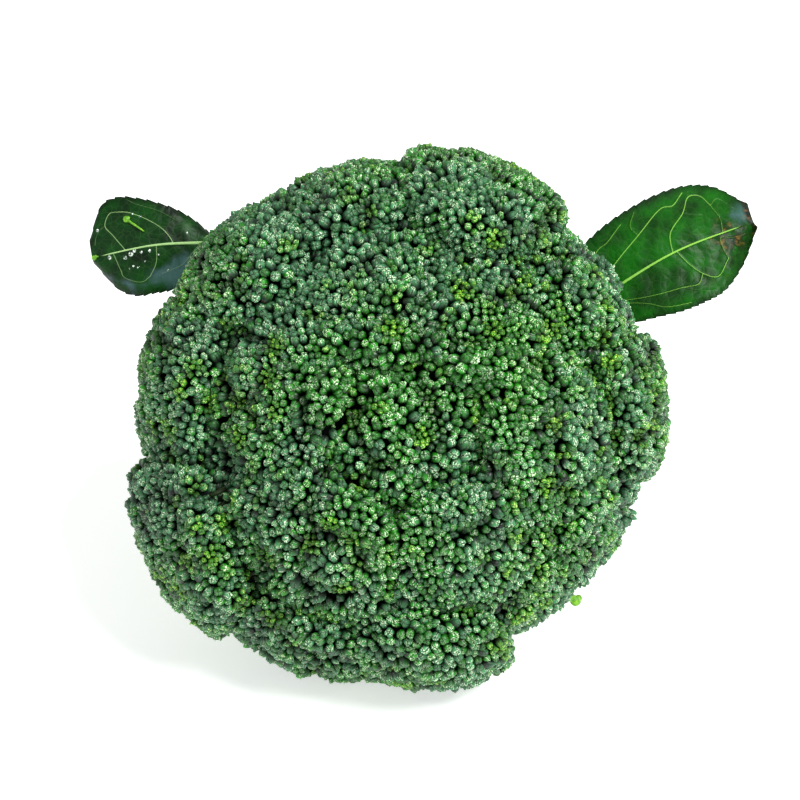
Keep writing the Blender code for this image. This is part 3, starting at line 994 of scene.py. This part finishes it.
# Side veins: strength, then places along the blade, from 0 to 1, and across it, from -1 to 1
# as for the leaf's half widths. Each loops towards the next one near the edge.
VEINS = {
    "leaf_right": (
        (0.62, ((0.08, 0), (0.21, 0.25), (0.43, 0.53), (0.56, 0.74), (0.62, 0.72), (0.68, 0.88))),
        (0.48, ((0.43, 0.53), (0.42, 0.72), (0.46, 0.90))),
        (0.55, ((0.02, 0.05), (0.19, 0.50), (0.25, 0.72), (0.31, 0.73), (0.39, 0.84))),
        (0.62, ((0.53, 0), (0.56, 0.31), (0.65, 0.54), (0.70, 0.78), (0.76, 0.77), (0.80, 0.58))),
        (0.52, ((0.80, 0.58), (0.83, 0.30), (0.82, 0.02))),
        (0.45, ((0.80, 0.58), (0.85, 0.72), (0.92, 0.55))),
        (0.40, ((0.65, 0.54), (0.70, 0.46), (0.74, 0.42))),
        (0.40, ((0.70, 0.78), (0.71, 0.92))),
        (0.62, ((0.55, 0), (0.58, -0.28), (0.63, -0.53), (0.71, -0.70), (0.80, -0.55))),
        (0.48, ((0.80, -0.55), (0.79, -0.30), (0.80, -0.08), (0.87, -0.22), (0.93, -0.35))),
        (0.55, ((0.63, -0.53), (0.58, -0.66), (0.49, -0.60), (0.29, -0.46), (0.08, 0))),
        (0.42, ((0.49, -0.60), (0.58, -0.78), (0.66, -0.88))),
        (0.55, ((0.20, -0.35), (0.31, -0.64), (0.37, -0.82), (0.49, -0.90))),
    ),
    "leaf_left": (
        (
            0.60,
            ((0.34, 0), (0.37, -0.19), (0.43, -0.39), (0.52, -0.54), (0.63, -0.66), (0.73, -0.71)),
        ),
        (0.55, ((0.73, -0.71), (0.80, -0.72), (0.85, -0.55), (0.80, -0.30), (0.73, 0))),
        (0.45, ((0.85, -0.55), (0.93, -0.58), (0.96, -0.40))),
        (0.45, ((0.30, -0.64), (0.43, -0.78), (0.58, -0.85), (0.69, -0.97))),
        (0.50, ((0.83, 0), (0.80, 0.42), (0.78, 0.60), (0.65, 0.70), (0.57, 0.62))),
        (0.50, ((0.57, 0.62), (0.50, 0.36), (0.48, 0))),
        (0.45, ((0.46, 0.60), (0.36, 0.55), (0.25, 0.45), (0.12, 0.05))),
    ),
}


def line_distance(places, line):
    """Distance from each flat place to the nearest part of the line."""
    best = np.full(len(places), np.inf)
    for start, end in zip(line, line[1:]):
        run = end - start
        share = np.clip(((places - start) @ run) / max(run @ run, 1e-12), 0, 1)
        away = np.linalg.norm(places - (start + share[:, None] * run), axis=1)
        best = np.minimum(best, away)
    return best


TOOTH_SPACING = 2.6         # millimetres between the fine teeth along a leaf's edge
TOOTH_DEPTH = 0.45          # millimetres


def blade_rows(leaf, columns, rows):
    """The blade as a grid of upright points.

    With them come each point's place along and across the blade, the same laid out flat in
    millimetres, and the blade's length.
    """
    t, across = np.meshgrid(np.linspace(0, 1, columns), np.linspace(-1, 1, rows), indexing="ij")
    t, across = t.ravel(), across.ravel()
    midrib = np.array(leaf["places"][2:], dtype=float)
    spine = along_curve(midrib, t)
    ahead, behind = np.minimum(t + 0.02, 1), np.maximum(t - 0.02, 0)
    run = along_curve(midrib, ahead) - along_curve(midrib, behind)
    side = unit(np.cross(UP, run))
    width = np.where(
        across > 0, along_curve(leaf["upper"], t)[:, 0], along_curve(leaf["lower"], t)[:, 0]
    )
    length = np.linalg.norm(midrib[-1] - midrib[0])
    tooth = (t * length / TOOTH_SPACING) % 1.0
    toothed = np.clip((np.abs(across) - 0.8) / 0.2, 0, 1)
    width = width - TOOTH_DEPTH * (1 - tooth) * toothed
    lift = leaf["cup"] * across**2 + 0.9 * np.sin(9 * t + 2 * across) * across**2
    flat = np.stack((t * length, across * width), 1)
    points = spine + side * (across * width)[:, None]
    points[:, 2] += lift
    return points, t, across, flat, length


MEAN_HALF_WIDTH = 17.0      # millimetres, for judging how far a place is from a vein
BLADE_COLUMNS = 240         # points along a blade
BLADE_ROWS = 160            # points across it


def blade_faces():
    """The faces of the blade's upper side, its underside and the rim between them."""
    grid = np.arange(BLADE_COLUMNS * BLADE_ROWS).reshape(BLADE_COLUMNS, BLADE_ROWS)
    faces, shift = [], grid.size
    for i in range(BLADE_COLUMNS - 1):
        for j in range(BLADE_ROWS - 1):
            a, b, c, d = grid[i, j], grid[i + 1, j], grid[i + 1, j + 1], grid[i, j + 1]
            faces.append((a, b, c, d))
            faces.append((d + shift, c + shift, b + shift, a + shift))
    rim = list(grid[:, 0]) + list(grid[-1, 1:]) + list(grid[-2::-1, -1]) + list(grid[0, -2:0:-1])
    faces += [(b, a, a + shift, b + shift) for a, b in zip(rim, rim[1:] + rim[:1])]
    return faces


def leaf_piece(name, leaf, material):
    """One leaf: its blade with raised veins, and its stem running on as the midrib."""
    points, t, across, flat, length = blade_rows(leaf, BLADE_COLUMNS, BLADE_ROWS)
    vein = np.exp(-((flat[:, 1] / (0.48 - 0.36 * t)) ** 2)) * np.clip((0.97 - t) * 9, 0, 1)
    spots = np.stack((t * length, across * MEAN_HALF_WIDTH), 1)
    for strength, line in VEINS[name]:
        drawn = along_curve(np.array(line), np.linspace(0, 1, 8 * len(line)))
        away = line_distance(spots, drawn * (length, MEAN_HALF_WIDTH))
        vein = np.maximum(vein, strength * np.exp(-((away / 0.2) ** 2)))
    vein *= np.clip((1 - np.abs(across)) * 12, 0, 1)
    puff = 0.5 * np.sin(flat[:, 0] * 1.1 + 2 * np.sin(flat[:, 1] * 0.5))
    points[:, 2] += 0.30 * vein + 0.16 * puff * (1 - vein) * (1 - across**4)
    thick = 0.32 * np.clip((1 - np.abs(across)) * 8, 0.15, 1)
    under = points.copy()
    under[:, 2] -= thick + 0.5 * vein
    stem = leaf_stem_shape(leaf)
    blade = (points.tolist() + under.tolist(), blade_faces())
    obj = mesh_object(name + "_blade", *joined([blade, stem]), material)
    # The right leaf is withered near its tip.
    blot = np.exp(-(((t - 0.86) / 0.12) ** 2) - (((across + 0.25) / 0.42) ** 2))
    blot = np.maximum(blot, np.clip((t - 0.955) * 40, 0, 1)) * (name == "leaf_right")
    for label, upper, lower, on_stem in (
        ("vein", vein, vein, 1.0), ("t", t, t, 0.0), ("across", across, across, 0.0),
        ("blot", blot, blot, 0.0), ("back", np.zeros(len(t)), np.ones(len(t)), 0.6),
    ):
        stem_values = np.full(len(stem[0]), on_stem)
        point_values(obj, label, np.concatenate((upper, lower, stem_values)))
    return obj


def leaf_stem_shape(leaf):
    """The leaf's stem from inside the stalk, going on under the blade as its midrib."""
    places = [np.array(place, dtype=float) for place in leaf["places"]]
    route = [places[0] - (places[1] - places[0]) * 0.35, *places[:-1]]
    steps = np.linspace(0, 1, 28)
    points = along_curve(np.array(route), steps)
    radii = leaf["foot_radius"] * (1 - 0.8 * steps)
    points[:, 2] -= (radii + 0.9) * np.clip((steps - 0.4) * 4, 0, 1)
    return tube(points, radii, 14)


def leaf_material(name, colour, vein_colour, dark, sheen):
    """Brassica leaf: waxy green blade with a few thin pale veins and a dull underside.

    sheen says where the blade's wax turns blue-grey, partly its own colour and partly a painted
    reflection of the light: how far along and across the blade, and how fast that fades along it.
    """
    material = new_material(name)
    place = object_place(material)
    vein, back, blot, t, across = (
        held(material, label) for label in ("vein", "back", "blot", "t", "across")
    )
    # Patches of about 6 mm, where the blade is thicker or thinner.
    patch = noise_at(material, place, 160.0, 5.0)
    blade = mixed(material, ramp(material, patch, (0.35, 0), (0.65, 1)), dark, colour)
    # The finest veins make a faint net of cells about 2 mm wide.
    net = node(
        material, "ShaderNodeTexVoronoi", {"Vector": place}, feature="DISTANCE_TO_EDGE",
        Scale=480.0,
    ).outputs["Distance"]
    blade = mixed(material, ramp(material, net, (0.0, 0.04), (0.05, 0)), blade, vein_colour)
    # The blade darkens towards its toothed edge.
    rim = math_node(material, "ABSOLUTE", across)
    blade = times(material, blade, ramp(material, rim, (0.86, 1), (1.0, 0.35)))
    # Wax and painted sheen: a blue-grey cloud, partly the wax's own colour and partly a painted
    # reflection of the light, broken into streaks.
    far = math_node(material, "MULTIPLY_ADD", patch, 1.6, -0.8)
    for label, middle, fading in ((t, sheen[0], sheen[2]), (across, sheen[1], 1.3)):
        away = math_node(material, "ABSOLUTE", math_node(material, "SUBTRACT", label, middle))
        far = math_node(material, "MULTIPLY_ADD", away, fading, far)
    wax_and_sheen = ramp(material, far, (0.15, 0.75), (0.75, 0), smooth=True)
    blade = mixed(material, wax_and_sheen, blade, linear("4E6F70"))
    # Blemishes: brown over black, in spots of 1 to 3 mm.
    spot = noise_at(material, place, 420.0, 5.0)
    worn = times(material, blot, ramp(material, spot, (0.42, 0), (0.50, 0.9)))
    burnt = ramp(
        material, spot, (0.50, linear("0A1806")), (0.60, linear("241C0A")),
        (0.70, linear("7A5424")),
    )
    blade = mixed(material, worn, blade, burnt)
    strong = ramp(material, vein, (0.28, 0), (0.62, 0.9), smooth=True)
    blade = mixed(material, strong, blade, vein_colour)
    under = mixed(material, strong, linear("6F9464"), linear("A9C48C"))
    blade = mixed(material, back, blade, under)
    return shader(
        material, blade, Roughness=mixed(material, wax_and_sheen, 0.42, 0.22),
        Specular_IOR_Level=0.16,
        Normal=bumped(material, mixed(material, 0.5, net, patch), 0.0006, 0.6),
    )


def drop_material():
    """Clear water standing in beads on the leaf, each with its own bright spot painted in as a
    highlight.
    """
    material = new_material("water bead")
    # Ripples of about 0.5 mm break the beads' outlines up, and mix a dark green with a near-white
    # painted highlight in their colour.
    ripple_and_glint = noise_at(material, object_place(material), 2000.0, 1.0)
    tone = ramp(material, ripple_and_glint, (0.42, linear("2C5236")), (0.62, linear("EEF7F0")))
    return shader(
        material, tone, Roughness=0.04, Specular_IOR_Level=0.9, Coat_Weight=1.0,
        Coat_Roughness=0.02, Normal=bumped(material, ripple_and_glint, 0.0001, 0.4),
    )


# Water beads on the left leaf: place along and across the blade, and width in millimetres.
BEADS = (
    (0.70, 0.09, 1.5), (0.66, 0.07, 1.1), (0.745, 0.13, 1.2), (0.61, 0.12, 0.9),
    (0.55, 0.10, 1.0), (0.86, 0.08, 1.3), (0.58, -0.60, 0.9), (0.62, -0.64, 0.7),
    (0.92, -0.66, 1.0), (0.70, 0.34, 0.7), (0.66, 0.42, 0.6), (0.73, 0.40, 0.5),
    (0.60, 0.28, 0.6), (0.48, 0.22, 0.7), (0.40, 0.55, 0.7), (0.22, -0.36, 0.7),
)


def bead_shape(middle, out, width):
    """A low round bead of water on the surface at middle, which faces out."""
    side = unit(np.cross(out, (0.3, 0.9, 0.1)))
    other = np.cross(out, side)
    rise = out * width * 0.32
    points, faces, sides = [middle + rise], [], 16
    for ring in range(1, 5):
        down = math.radians(22.5 * ring)
        for step in range(sides):
            angle = 2 * math.pi * step / sides
            spoke = side * math.cos(angle) + other * math.sin(angle)
            points.append(middle + spoke * width / 2 * math.sin(down) + rise * math.cos(down))
    for step in range(sides):
        after = (step + 1) % sides
        faces.append((0, 1 + step, 1 + after))
        for ring in range(3):
            low, high = 1 + ring * sides, 1 + (ring + 1) * sides
            faces.append((low + step, high + step, high + after, low + after))
    faces.append(tuple(reversed(range(1 + 3 * sides, 1 + 4 * sides))))
    return points, faces


def blade_place(leaf, t, across):
    """The place on the blade's upper side this far along and across it."""
    points, grid_t, grid_across, _, _ = blade_rows(leaf, 60, 41)
    return points[np.argmin((grid_t - t) ** 2 + (grid_across - across) ** 2)]


SIDE_SHOOT = (48.8, -51.8, 3)       # the bud's place, upright and in millimetres

# Crumbs on the left leaf: ends of a twig, as places along and across the blade, and the
# width in millimetres of the bud at its first end.
CRUMBS = (((0.68, -0.55), (0.56, -0.30), 2.0), ((0.99, 0.04), (0.95, 0.02), 1.5))


def leaf_crumbs(leaf):
    """Broken-off young buds, each with its bit of twig, lying on the leaf."""
    shapes = []
    for bud, end, width in CRUMBS:
        start, stop = (blade_place(leaf, *place) + (0, 0, 0.45) for place in (bud, end))
        steps = np.linspace(0, 1, 6)[:, None]
        route = start + (stop - start) * steps + (0, 0, 0.5) * np.sin(math.pi * steps)
        shapes.append(tube(route, np.linspace(0.42, 0.22, 6), 8))
        shapes.append(bead_shape(start, UP, width))
        shapes.append(bead_shape(start + (0.5, 0.4, 0.1), UP, width * 0.6))
    return joined(shapes)


def side_shoot(crown):
    """One small bright bud on its own twig, out from the crown's lower right edge."""
    tip = np.array(SIDE_SHOOT, dtype=float)
    root = np.array(crown.find_nearest(Vector(tip))[0])
    start = root + unit(root - tip) * 2.5
    steps = np.linspace(0, 1, 6)[:, None]
    route = start + (tip - start) * steps - (0, 0, 0.8) * np.sin(math.pi * steps)
    shapes = [tube(route, np.linspace(1.1, 0.7, 6), 8)]
    for shift, width in (((0, 0, 0), 3.2), ((-1.0, 0.8, 0.5), 2.4), ((0.9, 0.7, -0.3), 2.0)):
        shapes.append(bead_shape(tip + shift, UP, width))
    return joined(shapes)


def crumb_material():
    """Fresh yellow-green of a young bud, mottled in spots of about 0.8 mm."""
    material = new_material("young bud crumb")
    spot = noise_at(material, object_place(material), 1200.0, 2.0)
    tone = ramp(material, spot, (0.35, linear("4A8F14")), (0.65, linear("84BD30")))
    return shader(
        material, tone, Roughness=0.45, Specular_IOR_Level=0.4,
        Normal=bumped(material, spot, 0.0002, 0.5),
    )


def water_beads(leaf):
    """All the beads of water on the leaf, as one shape."""
    return joined(
        [bead_shape(blade_place(leaf, t, across), UP, width) for t, across, width in BEADS]
    )


class BROCCOLI_OT_leaves(bpy.types.Operator):
    """Makes the two leaves with their veins and stems"""

    bl_idname = "broccoli.leaves"
    bl_label = "Leaves"

    def execute(self, context):
        choices = settings()
        colour, veins = choices.leaf_colour[:], choices.vein_colour[:]
        looks = {
            "leaf_right": (
                "fresh waxy leaf", colour, veins, linear("053402"), (1.0, 0.35, 5.0),
            ),
            "leaf_left": (
                "wet dark leaf", linear("063F09"), linear("A4CB84"), linear("011804"),
                (0.24, 0.75, 1.0),
            ),
        }
        for name, leaf in LEAVES.items():
            keep(leaf_piece(name, leaf, leaf_material(*looks[name])), "leaf", name)
        wet_leaf, crumb = LEAVES["leaf_left"], crumb_material()
        crown = crown_tree(grown_florets())
        for name, shape, material, slot in (
            ("leaf_left_beads", water_beads(wet_leaf), drop_material(), "leaf"),
            ("leaf_left_crumbs", leaf_crumbs(wet_leaf), crumb, "buds"),
            ("side_shoot", side_shoot(crown), crumb, "buds"),
        ):
            keep(mesh_object(name, *shape, material), slot)
        return {"FINISHED"}


# --- floor, light and camera -------------------------------------------------------------


def floor_material(choices):
    """Matte white studio board, almost without marks."""
    material = new_material("white studio board")
    grain = noise_at(material, object_place(material), 600.0, 2.0)
    tone = ramp(material, grain, (0.3, 0.99), (0.7, 1.0))
    base = times(material, choices.floor_colour[:], tone)
    return shader(
        material, base, Roughness=0.7, Specular_IOR_Level=0.2, Emission_Color=base,
        Emission_Strength=0.6,
    )


def aim(obj, place, target):
    """Puts the object at place, with its -Z side to the target."""
    obj.location = place
    obj.rotation_euler = (Vector(target) - Vector(place)).to_track_quat("-Z", "Y").to_euler()


def area_light(name, place, target, size, power):
    """A round soft light of this width in metres and this power in watts."""
    remove_named(name)
    light = bpy.data.lights.new(name, "AREA")
    light.shape = "DISK"
    light.size = size
    light.energy = power
    obj = bpy.data.objects.new(name, light)
    bpy.context.scene.collection.objects.link(obj)
    aim(obj, place, target)
    return obj


VIEW_WIDTH = 0.2208         # metres across the view at the crown's widest
CROWN_WIDEST = 15.0         # millimetres over the hub
LOOK_AT = (-0.6, 4.7)       # millimetres across and up from the stalk's axis
KEY_FROM = (0.55, -0.45, 0.95)      # metres from the crown's middle to the large light
FILL_FROM = (-0.9, -0.8, 0.7)       # the same, to the faint light that fills the shadows


class BROCCOLI_OT_stage(bpy.types.Operator):
    """Sets the pale floor, the soft lights and the camera"""

    bl_idname = "broccoli.stage"
    bl_label = "Stage"

    def execute(self, context):
        choices = settings()
        scene = context.scene
        remove_named("floor")
        form = bmesh.new()
        bmesh.ops.create_grid(form, x_segments=2, y_segments=2, size=3.0)
        mesh = bpy.data.meshes.new("floor")
        form.to_mesh(mesh)
        form.free()
        mesh.materials.append(floor_material(choices))
        floor = bpy.data.objects.new("floor", mesh)
        scene.collection.objects.link(floor)
        centre = Vector(laid((0, 0, CROWN_WIDEST)))
        power = choices.key_power
        key = area_light("key_light", centre + Vector(KEY_FROM), centre, 0.55, power)
        fill = area_light("fill_light", centre + Vector(FILL_FROM), centre, 0.9, power * 0.12)
        world = bpy.data.worlds.new("studio")
        world.use_nodes = True
        background = world.node_tree.nodes["Background"]
        background.inputs["Color"].default_value = (1, 1, 1, 1)
        background.inputs["Strength"].default_value = 0.5
        scene.world = world
        scene.view_settings.view_transform = "Standard"
        scene.view_settings.look = "None"
        self.place_camera(scene, choices)
        return {"FINISHED"}

    def place_camera(self, scene, choices):
        """Looks down the stalk's axis, with the crown's middle a little below the centre."""
        remove_named("camera")
        lens = bpy.data.cameras.new("camera")
        lens.sensor_width = 36.0
        lens.lens = lens.sensor_width * choices.camera_distance / VIEW_WIDTH
        camera = bpy.data.objects.new("camera", lens)
        scene.collection.objects.link(camera)
        camera.location = laid((*LOOK_AT, CROWN_WIDEST + choices.camera_distance * 1000))
        camera.rotation_euler = head_turn().to_euler()
        scene.camera = camera


# --- the panel and the run ---------------------------------------------------------------


class BROCCOLI_PT_panel(bpy.types.Panel):
    """Sizes, colours and the steps of the broccoli head"""

    bl_label = "Broccoli head"
    bl_idname = "BROCCOLI_PT_panel"
    bl_space_type = "VIEW_3D"
    bl_region_type = "UI"
    bl_category = "Broccoli"

    def draw(self, context):
        choices = context.scene.broccoli
        for name in BroccoliSettings.__annotations__:
            self.layout.prop(choices, name)
        for step in STEPS:
            self.layout.operator(step.bl_idname)


STEPS = (
    BROCCOLI_OT_buds,
    BROCCOLI_OT_stem,
    BROCCOLI_OT_twigs,
    BROCCOLI_OT_leaves,
    BROCCOLI_OT_stage,
)
CLASSES = (BroccoliSettings, *STEPS, BROCCOLI_PT_panel)


def register():
    for each in CLASSES:
        bpy.utils.register_class(each)
    bpy.types.Scene.broccoli = PointerProperty(type=BroccoliSettings)


def unregister():
    del bpy.types.Scene.broccoli
    for each in reversed(CLASSES):
        bpy.utils.unregister_class(each)


def main():
    register()
    bpy.ops.broccoli.buds()
    bpy.ops.broccoli.stem()
    bpy.ops.broccoli.twigs()
    bpy.ops.broccoli.leaves()
    bpy.ops.broccoli.stage()
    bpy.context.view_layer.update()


if __name__ == "__main__":
    main()
